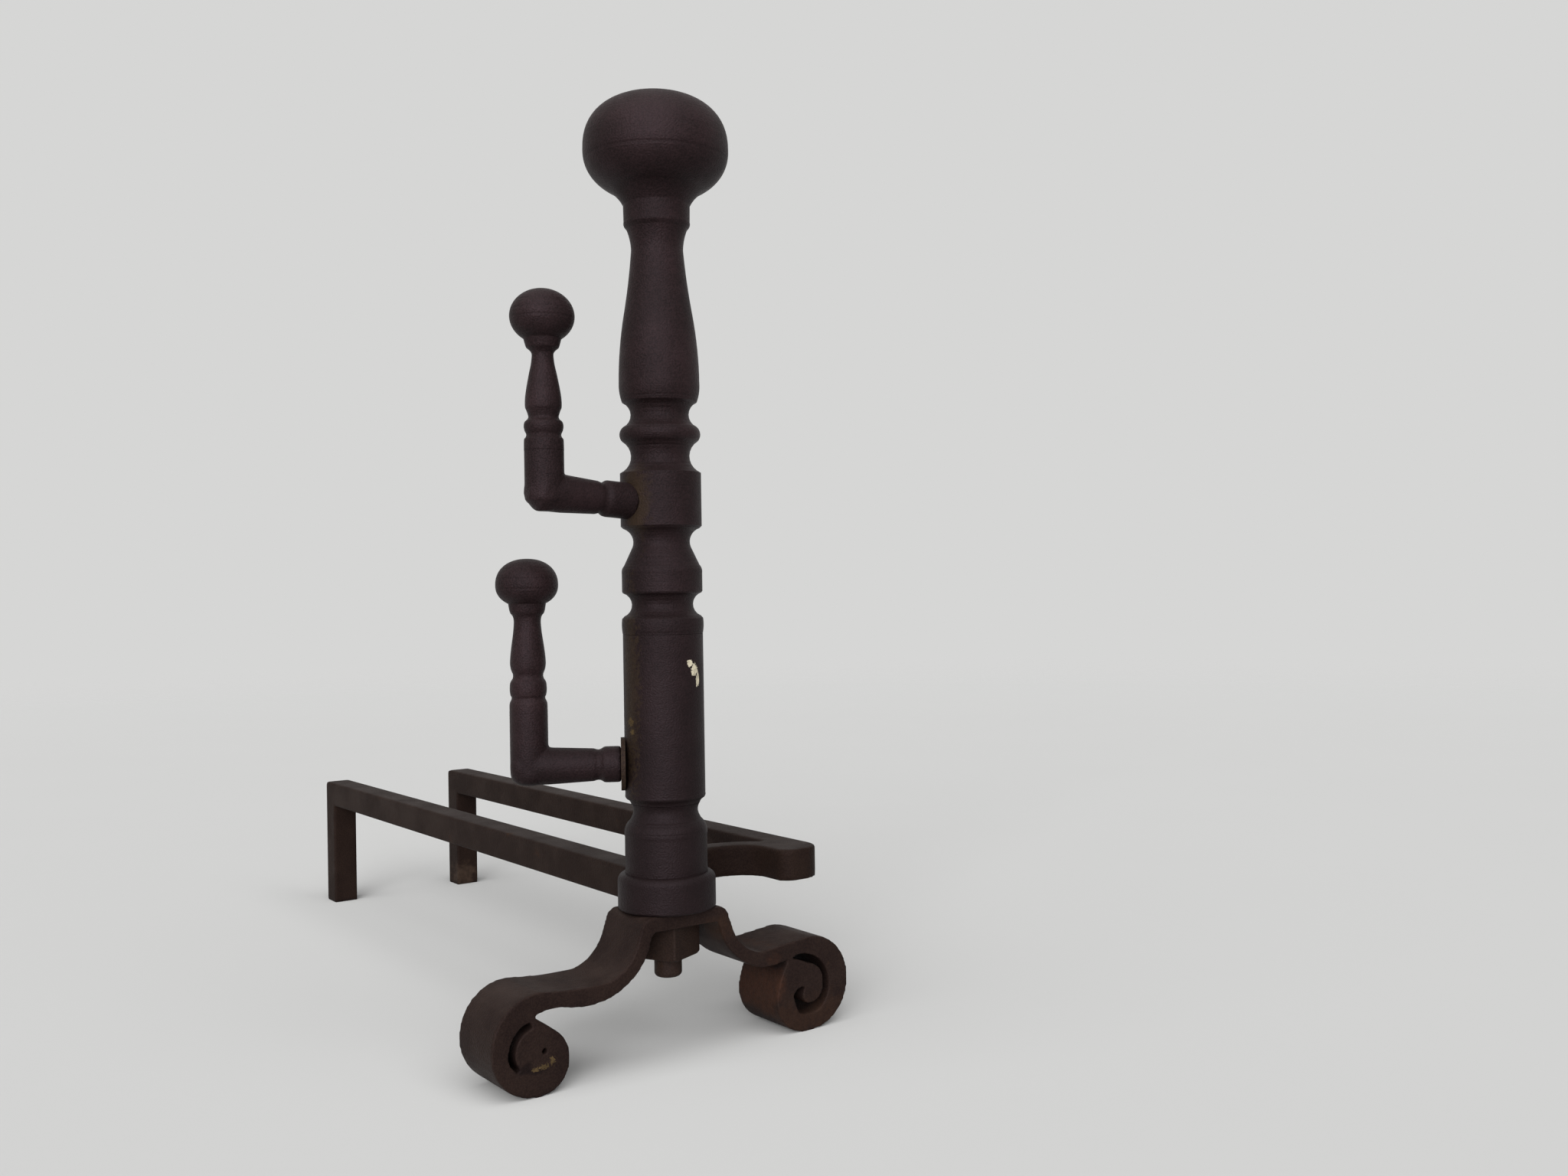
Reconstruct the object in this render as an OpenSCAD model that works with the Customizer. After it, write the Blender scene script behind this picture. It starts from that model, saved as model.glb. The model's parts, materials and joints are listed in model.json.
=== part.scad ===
// Andiron with a turned column, two turning hooks, a scrolled foot and a forked
// pair of log bars. Local frame: column axis upright, front towards -Y,
// log bars running back along +Y, floor at z = 0. Millimetres.

/* [Foot] */
// Height of the seat that carries the column
seat_h = 94.5; // [90:1:110]
// Front to back width of the foot strap
foot_w = 46; // [38:1:56]
// Thickness of the strap at the seat and down the legs
foot_t = 9.5; // [8:0.5:12]
// Half length of the flat seat
seat_half = 24; // [22:0.5:28]
// Column axis to the centre of the near scroll
near_reach = 104.8; // [95:1:115]
// Radius of the near scroll's outer turn
near_r = 31; // [28:0.5:34]
// Column axis to the inner side of the near scroll
near_waist = 84.5; // [78:0.5:90]
// Column axis to the centre of the far scroll
far_reach = 99.5; // [92:1:110]
// Radius of the far scroll's outer turn
far_r = 31.7; // [29:0.5:34]
// Column axis to the inner side of the far scroll
far_waist = 71.4; // [68:0.5:78]
// Radius of the near scroll's rolled core
core_r = 14.2; // [12:0.2:16]
// Width of the gap round the near scroll's core
near_gap_w = 4.1; // [2:0.1:5]

/* [Yoke and log bars] */
// Radius of the eye ring under the column
ring_r = 31.8; // [30:0.5:34]
// Height of the eye ring
ring_h = 23.1; // [22:0.5:28]
// Width and height of the square log bars
bar_w = 22; // [18:1:24]
// Column axis to the back of the log bars
bar_reach = 613.3; // [400:10:700]
// Distance between the two log bars, centre to centre
bar_pitch = 127.9; // [115:1:150]
// Column axis to the front of the inner bar
horn_front = 9.5; // [5:0.5:15]
// Thickness of the curved arm where it lies beside the inner bar
arm_lap = 14; // [11:0.5:17]

/* [Column] */
// Radius of the tie rod up the middle of the column
rod_r = 9; // [7:0.5:11]
// Length of rod that shows below the nut
rod_tail = 13; // [8:0.5:22]
// Width across the flats of the square nut
nut_w = 30.4; // [26:0.4:34]
// Height of the square nut
nut_h = 22.5; // [16:0.5:26]
// Radius of the base block
base_r = 26.7; // [24:0.1:27]
// Height of the base block, neck included
base_h = 44.6; // [40:0.5:55]
// Radius of the plain shaft
shaft_r = 26; // [24:0.5:30]
// Length of the plain shaft
shaft_len = 109.4; // [90:1:150]
// Radius of the block that carries the upper hook
block_r = 26.3; // [24:0.1:29]
// Height of the block that carries the upper hook
block_h = 34.4; // [30:0.5:44]
// Radius of the vase's waist under the collar
waist_r = 16.9; // [14:0.5:20]
// Radius of the collar under the ball
collar_r = 21.6; // [19:0.1:23]
// Radius of the ball at its widest
ball_r = 47.3; // [42:0.5:54]
// Height of the ball above its widest part
ball_high = 35.9; // [30:0.5:44]
// Depth of the ball below its widest part, before it joins its foot
ball_low = 31.7; // [28:0.5:40]

/* [Hooks] */
// Radius of the hooks' round bar at the elbow
hook_r = 12; // [11.5:0.1:12.5]
// Radius of the hooks' arm where it meets its groove
root_r = 10.6; // [9:0.1:11]
// Radius of the collar that shoulders on the column
hook_collar_r = 11.7; // [11:0.1:13]
// Length of the lower hook's collar
lower_collar_len = 11; // [7:0.5:16]
// Length of the upper hook's collar, seat included
upper_collar_len = 19; // [12:0.5:22]
// Column axis to the upright of the upper hook
upper_reach = 84; // [76:1:100]
// Climb of the upper hook's arm, in degrees
upper_climb = 4.2; // [0:0.1:6]
// Column axis to the upright of the lower hook
lower_reach = 87; // [76:1:100]
// Height of the lower hook's arm above the shaft's foot
lower_arm_h = 25.6; // [18:0.5:60]
// Way the lower hook points, in degrees from +X
lower_dir = 149.7; // [120:1:180]
// Height of the lower hook's plain upright above its arm's axis
lower_upright = 38.5; // [32:0.5:60]
// Height of the upper hook's plain upright above its arm's axis
upper_upright = 30.4; // [28:0.2:60]
// Radius of the lower hook finial's neck
lower_neck_r = 8.3; // [6:0.1:9]
// Radius of the upper hook finial's neck
upper_neck_r = 6.8; // [6:0.1:9]
// Radius of the washer behind the lower hook
washer_r = 17.2; // [15:0.1:19]
// Thickness of the washer behind the lower hook
washer_t = 2.8; // [2:0.2:5]
// Radius of the hook finials' knob
knob_r = 19.8; // [17:0.1:22]

/* [Hidden] */
$fn = 96;
arc_steps = 8;      // straight steps in each arc of an outline
eps = 0.01;         // overshoot of a cut through a face
turn_gap = 0.2;     // air between two parts that turn on each other
run_fit = 0.05;     // radial play of a turning bore on the tie rod
free_fit = 0.4;     // radial play of a plain clearance hole
quarter = 0.2071;   // bulge of a quarter circle, as a share of its chord
iron = "#4a4242";
bar_iron = "#575150";
rust_iron = "#6b4f3a";

// Heights up the column
ring_z = seat_h;
base_z = ring_z + ring_h;
shaft_z = base_z + base_h + turn_gap;
upper_z = shaft_z + shaft_len + turn_gap;

// Upper column, heights above its foot
foot_bead_h = 11.5;
band_z = 26.5;
band_h = 12.7;
block_z = 69.8;
bead_z = block_z + block_h + 20.9;
vase_z = bead_z + 25.3;
waist_z = vase_z + 98.8;
collar_z = waist_z + 18;
collar_h = 11;
bead_r = 24.7;
groove_depth = 5.3;

// Ball
ball_z = upper_z + collar_z + collar_h;
ball_foot_r = collar_r + 8.4;
ball_foot_h = 9.9;
high_square = 2.4;      // 2 is an ellipse, and more is squarer
low_square = 2.2;
ball_mid = ball_foot_h
         + ball_low * pow(1 - pow(ball_foot_r / ball_r, low_square), 1 / low_square);
spigot_r = 7;
spigot_len = 28;

// Tie rod
nut_turn = 25;
nut_face_r = nut_w / 2 + 3.6;
rod_end_round = 3;
rod_engage = 50;
plate_z = seat_h - foot_t;
rod_bottom = plate_z - nut_h - rod_tail;
rod_top = upper_z + rod_engage;

// Hook seats
stud_r = 6;
stud_tip = rod_r + 2.5;
seat_flat = 0.4;
groove_len = 6;
upper_arm_z = upper_z + block_z + block_h / 2 - 3.2;
upper_seat = sqrt(pow(block_r, 2) - pow(hook_collar_r, 2)) - 0.4;
lower_arm_z = shaft_z + lower_arm_h;
lower_seat = shaft_r - seat_flat + washer_t;
upright_r = hook_r + 0.2;
lower_cut = 8;
upper_cut = 7;
pin_r = 4.5;
pin_len = 16;

// Foot, heights and points that both sides share
near_eye_r = 1.8;
sole_x = 59.3;
sole_h = 48.9;
leg_x = 36.4;
leg_top_h = seat_h - 7;
leg_low_h = seat_h - 16.5;
knee_x = 59;
knee_h = 59.3;

// Overall box, used only to place the part on its origin
x_low = -(near_reach + near_r);
x_high = max(bar_pitch + bar_w / 2, far_reach + far_r);
y_low = -max(ball_r, ring_r, foot_w / 2);
y_high = bar_reach;
origin = [(x_low + x_high) / 2, (y_low + y_high) / 2, 0];

// ---- Outlines --------------------------------------------------------------

// Points of an arc from a to b, b left out. s is how far the arc bulges to the
// right of the way from a to b.
function arc(a, b, s) =
    let (
        chord = norm(b - a),
        along = (b - a) / chord,
        side = [along.y, -along.x],
        half = 2 * atan(2 * abs(s) / chord),
        radius = abs(s) < eps ? 0 : chord / (2 * sin(half))
    )
    abs(s) < eps ? [a] : [
        for (i = [0:arc_steps - 1])
            let (turn = half * (2 * i / arc_steps - 1))
            a + along * (chord / 2 + radius * sin(turn))
              + side * (sign(s) * radius * (cos(turn) - cos(half)))
    ];

// An outline from rows of [x, y, bulge towards the next row]. With the solid on
// the left, a positive bulge is a rounded edge and a negative one a hollow.
function outline(rows) = [
    for (i = [0:len(rows) - 1])
        let (row = rows[i], next = rows[(i + 1) % len(rows)])
        each arc([row.x, row.y], [next.x, next.y], row.z)
];

// The same rows on the other side of the column, still with the solid on the left
function mirrored(rows) = [
    for (i = [len(rows) - 1:-1:0])
        [-rows[i].x, rows[i].y, i == 0 ? 0 : rows[i - 1].z]
];

// A turned solid from rows of [radius, height, bulge], with the axis closed
module turned(rows) {
    last = rows[len(rows) - 1];
    top = last.x > 0 ? [[0, last.y, 0]] : [];
    rotate_extrude()
        polygon(outline(concat([[0, rows[0].y, 0]], rows, top)));
}

// ---- Foot ------------------------------------------------------------------

// One half of the foot's outline, on the +X side, from the seat's underside
// round the scroll and back to the seat's top. roll holds the rows from the
// underside of the strap to the inner side of the scroll.
function foot_side(reach, r, waist, waist_h, roll, floor_in, crown_dip) =
    let (floor_out = reach + 3, outer = reach + r)
    concat(
        [
            [seat_half - 0.6, plate_z, -0.8],
            [seat_half + 3, plate_z - 8, 0.2],
            [seat_half + 7.1, plate_z - 16.8, 3.2]
        ],
        roll,
        [
            [waist, waist_h, quarter * norm([floor_in - waist, waist_h])],
            [floor_in, 0, 0],
            [floor_out, 0, quarter * norm([outer - floor_out, r])],
            [outer, r, quarter * norm([r, r])],
            [reach, 2 * r, -crown_dip],
            [knee_x, knee_h, -4],
            [leg_x, leg_low_h, 0],
            [leg_x - 3.4, leg_top_h, 2.2],
            [seat_half, seat_h, 0]
        ]
    );

near_roll = [
    [sole_x, sole_h, 1.3],
    [near_reach - 20.2, sole_h + 0.3, -1.9],
    [near_reach + 3.8, near_r + 17.1, 0.3],
    [near_reach - 13.8, near_r + 4.3, 1.5]
];
far_roll = [
    [sole_x, sole_h, 1],
    [far_reach - 18.3, far_r + 19.1, 1.2]
];
near_side = foot_side(near_reach, near_r, near_waist, 21, near_roll, near_reach - 2, 1);
far_side = foot_side(far_reach, far_r, far_waist, 28, far_roll, far_reach - 8, 0);

// The gap between the turns of the near scroll, round its core
module near_gap() {
    gap_r = core_r + near_gap_w;
    translate([near_reach + 1.7, near_r - 3.5])
        polygon(outline([
            [core_r * cos(80), core_r * sin(80), -quarter * norm([core_r, core_r])],
            [core_r * cos(-10), core_r * sin(-10), -0.11 * core_r],
            [core_r * cos(-65), core_r * sin(-65), 0.08 * gap_r],
            [gap_r * cos(-15), gap_r * sin(-15), 0.09 * gap_r],
            [gap_r * cos(35), gap_r * sin(35), 0.09 * gap_r],
            [gap_r * cos(78), gap_r * sin(78), 0]
        ]));
}

// The gap between the turns of the far scroll, open right through, which ends
// in the eye beside the strap's rounded tip
module far_gap() {
    translate([far_reach, far_r])
        polygon(outline([
            [-17, 19.1, -0.8],
            [-1.5, 13.5, -3.9],
            [10.7, -0.5, -3.4],
            [1, -13.5, -5.3],
            [-4, -2.3, 2.3],
            [-14.3, -6.2, 0.5],
            [-9.5, -19.2, 1.6],
            [7.8, -18.5, 2.5],
            [15.4, -1.2, 3.2],
            [3, 18, 1],
            [-11.2, 20.8, 0]
        ]));
}

module foot_strap() {
    color(rust_iron)
    difference() {
        rotate([90, 0, 0])
        linear_extrude(foot_w, center = true)
        difference() {
            polygon(outline(concat(far_side, mirrored(near_side))));
            far_gap();
            mirror([1, 0]) {
                near_gap();
                translate([near_reach - 3.5, near_r - 4.5])
                    circle(near_eye_r);
            }
        }
        translate([0, 0, plate_z - eps])
            cylinder(r = rod_r + free_fit, h = foot_t + 2 * eps);
    }
}

module square_nut() {
    bevel_r = nut_w * 0.75;
    color(rust_iron)
    translate([0, 0, plate_z - nut_h])
    difference() {
        intersection() {
            rotate([0, 0, nut_turn])
            translate([-nut_w / 2, -nut_w / 2, 0])
                cube([nut_w, nut_w, nut_h]);
            turned([
                [nut_face_r, 0, 0],
                [bevel_r, (bevel_r - nut_face_r) * tan(30), 0],
                [bevel_r, nut_h, 0]
            ]);
        }
        translate([0, 0, -eps])
            cylinder(r = rod_r, h = nut_h + 2 * eps);
    }
}

module tie_rod() {
    color(rust_iron)
    turned([
        [rod_r - rod_end_round, rod_bottom, quarter * norm([rod_end_round, rod_end_round])],
        [rod_r, rod_bottom + rod_end_round, 0],
        [rod_r, rod_top - 1, 0],
        [rod_r - 1, rod_top, 0]
    ]);
}

// ---- Yoke and log bars -----------------------------------------------------

module eye_ring() {
    top_round = ring_r - base_r - 0.3;
    color(iron)
    translate([0, 0, ring_z])
    difference() {
        turned([
            [ring_r - 1.5, 0, quarter * norm([1.5, 1.5])],
            [ring_r, 1.5, 0],
            [ring_r, ring_h - top_round, quarter * norm([top_round, top_round])],
            [ring_r - top_round, ring_h, 0]
        ]);
        translate([0, 0, -eps])
            cylinder(r = rod_r + free_fit, h = ring_h + 2 * eps);
    }
}

// Plan of a straight bar, centred on x, from y0 to the back
module bar_plan(x, y0) {
    translate([x - bar_w / 2, y0])
        square([bar_w, bar_reach - y0]);
}

// Side view of a bar with its back end turned down into a leg
module bar_side(y0) {
    corner = 4;
    inside = 3;
    polygon(outline([
        [y0, seat_h, 0],
        [bar_reach - bar_w - inside, seat_h, -quarter * norm([inside, inside])],
        [bar_reach - bar_w, seat_h - inside, 0],
        [bar_reach - bar_w, 0, 0],
        [bar_reach, 0, 0],
        [bar_reach, seat_h + bar_w - corner, quarter * norm([corner, corner])],
        [bar_reach - corner, seat_h + bar_w, 0],
        [y0, seat_h + bar_w, 0]
    ]));
}

// A bar and its leg, cut to the plan that the children draw
module log_bar(x, y0) {
    intersection() {
        translate([x - bar_w / 2, 0, 0])
        rotate([90, 0, 90])
        linear_extrude(bar_w)
            bar_side(y0);
        translate([0, 0, -eps])
        linear_extrude(seat_h + bar_w + 2 * eps)
            children();
    }
}

module outer_log_bar() {
    color(bar_iron)
    log_bar(0, 0)
        difference() {
            bar_plan(0, 0);
            circle(ring_r);
        }
}

module inner_log_bar() {
    nose = 0.8 * bar_w;
    x0 = bar_pitch - bar_w / 2;
    color(bar_iron)
    log_bar(bar_pitch, horn_front)
        polygon(outline([
            [x0, horn_front, 0],
            [x0 + bar_w - nose, horn_front, quarter * norm([nose, nose])],
            [x0 + bar_w, horn_front + nose, 0],
            [x0 + bar_w, bar_reach, 0],
            [x0, bar_reach, 0]
        ]));
}

// Curved arm from the eye ring to the front of the inner bar, where it lies
// beside the bar as the inner half of the rounded horn
module yoke_arm() {
    lap_x = bar_pitch - bar_w / 2;
    nose = 0.7 * arm_lap;
    color(bar_iron)
    translate([0, 0, seat_h])
    linear_extrude(bar_w)
    difference() {
        polygon(outline([
            [bar_w / 2 - 2, ring_r - 12, 0],
            [ring_r - 7, ring_r - 9, -2],
            [48, 48, -5.5],
            [lap_x - 27, 51, -4],
            [lap_x - arm_lap, 30, 0],
            [lap_x - arm_lap, horn_front + nose, quarter * norm([nose, nose])],
            [lap_x - arm_lap + nose, horn_front, 0],
            [lap_x + 2, horn_front, 0],
            [lap_x + 2, 50, 1],
            [lap_x - 18, 65.6, 1.5],
            [lap_x - 55, 74, 1.5],
            [34, 72.5, 1],
            [bar_w / 2 - 2, 60, 0]
        ]));
        circle(ring_r);
        bar_plan(0, 0);
        bar_plan(bar_pitch, horn_front - 5);
    }
}

// ---- Column ----------------------------------------------------------------

module base_block() {
    straight = 23.4;
    color(iron)
    translate([0, 0, base_z])
    difference() {
        turned([
            [base_r, 0, 0],
            [base_r, straight, 1.6],
            [base_r - 3.7, straight + 10.7, 0],
            [base_r - 5.2, straight + 13.7, -1],
            [base_r - 4.3, base_h, 0]
        ]);
        translate([0, 0, -eps])
            cylinder(r = rod_r + free_fit, h = base_h + 2 * eps);
    }
}

module shaft() {
    lip = 3.6;
    color(iron)
    difference() {
        translate([0, 0, shaft_z])
            turned([
                [shaft_r - lip, 0, -0.4],
                [shaft_r - 1, 3, 0.5],
                [shaft_r, 5.8, 0],
                [shaft_r, shaft_len, 0]
            ]);
        translate([0, 0, shaft_z - eps])
            cylinder(r = rod_r + run_fit, h = shaft_len + 2 * eps);
        translate([0, 0, lower_arm_z])
        rotate([0, 0, lower_dir]) {
            translate([shaft_r - seat_flat, -washer_r, -washer_r])
                cube([washer_r, 2 * washer_r, 2 * washer_r]);
            rotate([0, 90, 0])
            translate([0, 0, stud_tip - 0.5])
                cylinder(r = stud_r, h = shaft_r);
        }
    }
}

module upper_column() {
    color(iron)
    difference() {
        translate([0, 0, upper_z])
            turned([
                [shaft_r, 0, 0.4],
                [shaft_r + 0.3, foot_bead_h - 1.6, 0],
                [shaft_r - 1.2, foot_bead_h, -groove_depth],
                [block_r - 0.8, band_z, 0],
                [block_r - 0.2, band_z + 1, 0],
                [block_r - 0.2, band_z + band_h, 0.6],
                [block_r - 1.8, band_z + band_h + 5.2, 0],
                [block_r - 7.4, block_z - 13.4, -2.8],
                [block_r - 1.6, block_z - 1.5, 0],
                [block_r, block_z, 0],
                [block_r, block_z + block_h, 0],
                [block_r - 2.4, block_z + block_h + 1.5, -groove_depth],
                [bead_r, bead_z, 1.9],
                [bead_r - 0.7, bead_z + 9, -groove_depth],
                [bead_r - 0.4, vase_z, 0.6],
                [block_r - 0.1, vase_z + 12.1, 0.95],
                [block_r - 4, vase_z + 56.8, -0.5],
                [waist_r, waist_z, -0.6],
                [collar_r - 1.9, collar_z - 4.5, 0],
                [collar_r - 0.7, collar_z - 3, 0.4],
                [collar_r - 0.1, collar_z, 0],
                [collar_r + 0.1, collar_z + collar_h, 0]
            ]);
        translate([0, 0, upper_z - eps])
            cylinder(r = rod_r + run_fit, h = rod_engage + 2);
        translate([0, 0, upper_arm_z])
        rotate([0, -90 + upper_climb, 0]) {
            translate([0, 0, upper_seat])
                cylinder(r = hook_collar_r, h = block_r);
            translate([0, 0, stud_tip - 0.5])
                cylinder(r = stud_r, h = block_r);
        }
        translate([0, 0, ball_z - spigot_len - 0.5])
            cylinder(r = spigot_r, h = spigot_len + 1);
    }
}

// A point of the ball's outline at the angle t from its widest part
function ball_row(t, half, square) = [
    ball_r * pow(cos(t), 2 / square),
    ball_mid + sign(t) * half * pow(abs(sin(t)), 2 / square),
    0
];

module finial_ball() {
    steps = 18;
    low = -acos(pow(ball_foot_r / ball_r, low_square / 2));
    color(iron)
    translate([0, 0, ball_z])
        turned(concat(
            [
                [spigot_r, -spigot_len, 0],
                [spigot_r, 0, 0],
                [collar_r + 0.1, 0, -0.8]
            ],
            [for (i = [0:steps - 1]) ball_row(low * (1 - i / steps), ball_low, low_square)],
            [for (i = [0:steps - 1]) ball_row(90 * i / steps, ball_high, high_square)],
            [[0, ball_mid + ball_high, 0]]
        ));
}

// ---- Hooks -----------------------------------------------------------------

// Puts a hook, drawn with its arm along +X, on the column
module place_upper() {
    translate([0, 0, upper_arm_z])
    rotate([0, 0, 180])
        children();
}

module place_lower() {
    translate([0, 0, lower_arm_z])
    rotate([0, 0, lower_dir])
        children();
}

// Round bar with a turned-down stud, a shouldered collar, a hollow groove and a
// tapering arm that meets a plain upright in a sharp elbow. The elbow's outer
// corner is cut back by cut, flat or rounded by cut_bulge. The upright is
// drilled for the finial's pin.
module hook_bar(reach, climb, seat, collar_len, upright, cut, cut_bulge) {
    corner_h = reach * tan(climb);
    arm_end = (reach + hook_r) / cos(climb);
    collar_end = seat + collar_len;
    difference() {
        union() {
            rotate([0, 90 - climb, 0])
                turned([
                    [stud_r, stud_tip, 0],
                    [stud_r, seat, 0],
                    [hook_collar_r, seat, 0],
                    [hook_collar_r, collar_end, -1.4],
                    [root_r, collar_end + groove_len, 0],
                    [hook_r, arm_end - 2 * hook_r, 0],
                    [hook_r, arm_end - cut, cut_bulge],
                    [hook_r - cut, arm_end, 0]
                ]);
            translate([reach, 0, 0])
                turned([
                    [upright_r - cut, corner_h - hook_r, cut_bulge],
                    [upright_r, corner_h - hook_r + cut, 0],
                    [upright_r, corner_h + upright, 0]
                ]);
        }
        translate([reach, 0, corner_h + upright - pin_len - 0.5])
            cylinder(r = pin_r, h = pin_len + 1);
    }
}

// Turned finial with a pin at its foot; neck is the radius under the knob's cup
module hook_finial(reach, climb, upright, neck) {
    translate([reach, 0, reach * tan(climb) + upright])
        turned([
            [pin_r, -pin_len, 0],
            [pin_r, 0, 0],
            [upright_r, 0, -1],
            [hook_r - 0.2, 8, 0.4],
            [hook_r - 0.8, 11.4, -1.2],
            [hook_r - 1.4, 20.6, 0.8],
            [hook_r - 2.4, 36.9, -0.5],
            [neck, 54, -0.2],
            [neck + 0.9, 57.5, 0],
            [hook_r - 1.6, 59.5, 0.3],
            [hook_r - 1, 62.8, 2.1],
            [knob_r, 77.1, quarter * norm([knob_r, 18.3])],
            [0, 95.4, 0]
        ]);
}

module lower_hook_bar() {
    color(iron)
    place_lower()
        hook_bar(lower_reach, 0, lower_seat, lower_collar_len, lower_upright,
                 lower_cut, quarter * norm([lower_cut, lower_cut]));
}

module lower_hook_finial() {
    color(iron)
    place_lower()
        hook_finial(lower_reach, 0, lower_upright, lower_neck_r);
}

module lower_hook_washer() {
    color(iron)
    place_lower()
    translate([shaft_r - seat_flat, 0, 0])
    rotate([0, 90, 0])
    difference() {
        cylinder(r = washer_r, h = washer_t);
        translate([0, 0, -eps])
            cylinder(r = stud_r, h = washer_t + 2 * eps);
    }
}

module upper_hook_bar() {
    color(iron)
    place_upper()
        hook_bar(upper_reach, upper_climb, upper_seat, upper_collar_len, upper_upright,
                 upper_cut, 0);
}

module upper_hook_finial() {
    color(iron)
    place_upper()
        hook_finial(upper_reach, upper_climb, upper_upright, upper_neck_r);
}

// ---- Drawing ---------------------------------------------------------------

translate(-origin) {
    foot_strap();
    square_nut();
    tie_rod();
    eye_ring();
    yoke_arm();
    outer_log_bar();
    inner_log_bar();
    base_block();
    shaft();
    upper_column();
    finial_ball();
    lower_hook_bar();
    lower_hook_washer();
    lower_hook_finial();
    upper_hook_bar();
    upper_hook_finial();
}
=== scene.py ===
"""Andiron with a turned column, two turning hooks, a scrolled foot and a forked
pair of log bars, dressed for a studio picture.

Everything is in metres, in the part's own frame: the front is towards -Y, the
log bars run back along +Y and the floor is at z = 0.
"""

import json
import logging
import math
from dataclasses import dataclass, replace
from enum import Enum

import bmesh
import bpy
from mathutils import Matrix, Vector

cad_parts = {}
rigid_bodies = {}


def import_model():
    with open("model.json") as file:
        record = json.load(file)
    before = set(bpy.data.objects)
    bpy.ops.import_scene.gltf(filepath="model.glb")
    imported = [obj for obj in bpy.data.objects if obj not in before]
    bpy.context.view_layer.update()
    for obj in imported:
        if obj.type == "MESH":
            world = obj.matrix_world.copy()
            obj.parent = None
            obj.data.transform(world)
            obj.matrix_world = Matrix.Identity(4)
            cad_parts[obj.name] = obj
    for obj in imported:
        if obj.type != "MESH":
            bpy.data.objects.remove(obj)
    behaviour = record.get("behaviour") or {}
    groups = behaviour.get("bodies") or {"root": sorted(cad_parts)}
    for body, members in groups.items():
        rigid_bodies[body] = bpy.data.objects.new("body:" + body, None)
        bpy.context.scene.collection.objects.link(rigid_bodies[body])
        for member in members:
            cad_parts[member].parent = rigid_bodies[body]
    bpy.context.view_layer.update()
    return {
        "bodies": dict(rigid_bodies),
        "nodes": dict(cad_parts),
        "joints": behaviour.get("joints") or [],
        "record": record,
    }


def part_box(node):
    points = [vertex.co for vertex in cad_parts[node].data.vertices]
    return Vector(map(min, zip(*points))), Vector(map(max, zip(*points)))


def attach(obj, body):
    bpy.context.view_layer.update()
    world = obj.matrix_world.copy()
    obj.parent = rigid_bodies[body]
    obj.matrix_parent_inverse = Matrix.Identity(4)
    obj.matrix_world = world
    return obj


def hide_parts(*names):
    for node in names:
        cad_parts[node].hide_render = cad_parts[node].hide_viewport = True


Colour = tuple[float, float, float]
Point = tuple[float, float, float]
Span = tuple[float, float]
Outline = list[tuple[float, float]]
Socket = bpy.types.NodeSocket
Value = Socket | float | tuple

LOG = logging.getLogger("andiron")
MILLIMETRE = 0.001
UP = (0.0, 0.0, 1.0)
ORIGIN = (0.0, 0.0, 0.0)
WHITE = (1.0, 1.0, 1.0)


# Names and colours


class Body(Enum):
    """The bodies that pieces ride on."""

    FRAME = "frame"
    LOWER = "lower_section"
    UPPER = "upper_section"


class Slot(Enum):
    """The record's material slots for pieces made here."""

    HOOK = "hook_iron"
    BAR = "bar_iron"
    FOOT = "foot_iron"
    ROD = "rod_iron"


class MarkKind(Enum):
    """What a local mark on the iron is, and how soft its edge is."""

    RUST = ("rust", 0.45)
    # A mark of painted shade.
    SOOT_AND_PAINTED_SHADE = ("soot", 0.45)
    RUBBED = ("rubbed", 0.45)
    CHIP = ("chip", 0.08)

    @property
    def softness(self) -> float:
        """Share of the mark's reach over which its edge fades."""
        return self.value[1]


def linear(red: int, green: int, blue: int) -> Colour:
    """Turns a colour as a screen shows it into a shader's colour, by the sRGB curve.

    Args:
        red: Red, from 0 to 255.
        green: Green, from 0 to 255.
        blue: Blue, from 0 to 255.

    Returns:
        The same colour in linear light, from 0 to 1.
    """

    def channel(value: int) -> float:
        """Turns one channel."""
        share = value / 255.0
        return share / 12.92 if share <= 0.04045 else ((share + 0.055) / 1.055) ** 2.4

    return channel(red), channel(green), channel(blue)


def shade(colour: Colour, share: float) -> Colour:
    """Darkens a colour to a share of its light."""
    red, green, blue = colour
    return share * red, share * green, share * blue


# Colour of soot in turned lines, and of the painted shade in crevices, near the floor and in
# the scroll's gap.
SOOT_AND_PAINTED_SHADE = linear(18, 12, 12)
IRON_DARK = linear(18, 11, 10)
IRON_PALE = linear(40, 28, 29)
# Rubbed colours, also used as a painted sheen on faces that look up.
CAST_WORN_AND_SHEEN = linear(50, 41, 42)
BAR_WORN_AND_SHEEN = linear(56, 48, 45)
FOOT_WORN_AND_SHEEN = linear(64, 52, 47)
RUST = linear(60, 41, 29)
RED_RUST = linear(66, 41, 29)
OCHRE = linear(74, 54, 30)
GOLDEN_STAIN = linear(60, 48, 30)
BROWN_STAIN = linear(56, 44, 28)
FLECK = linear(92, 76, 50)
STAIN_FLECK = linear(84, 68, 40)
RUBBED_IRON = linear(74, 60, 50)
BARE = linear(205, 196, 172)


# Finishes


@dataclass(frozen=True)
class Grain:
    """An uneven pattern through the iron.

    Args:
        scale: Features per metre.
        detail: Number of finer layers.
        rough: Weight of the finer layers, from 0 to 1.
    """

    scale: float
    detail: float
    rough: float


@dataclass(frozen=True)
class Patches:
    """Patches on the iron, where a grain is strong.

    Args:
        grain: The grain.
        low: Strength of the grain at which a patch starts.
        high: Strength of the grain at which a patch is full.
    """

    grain: Grain
    low: float
    high: float


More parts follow.
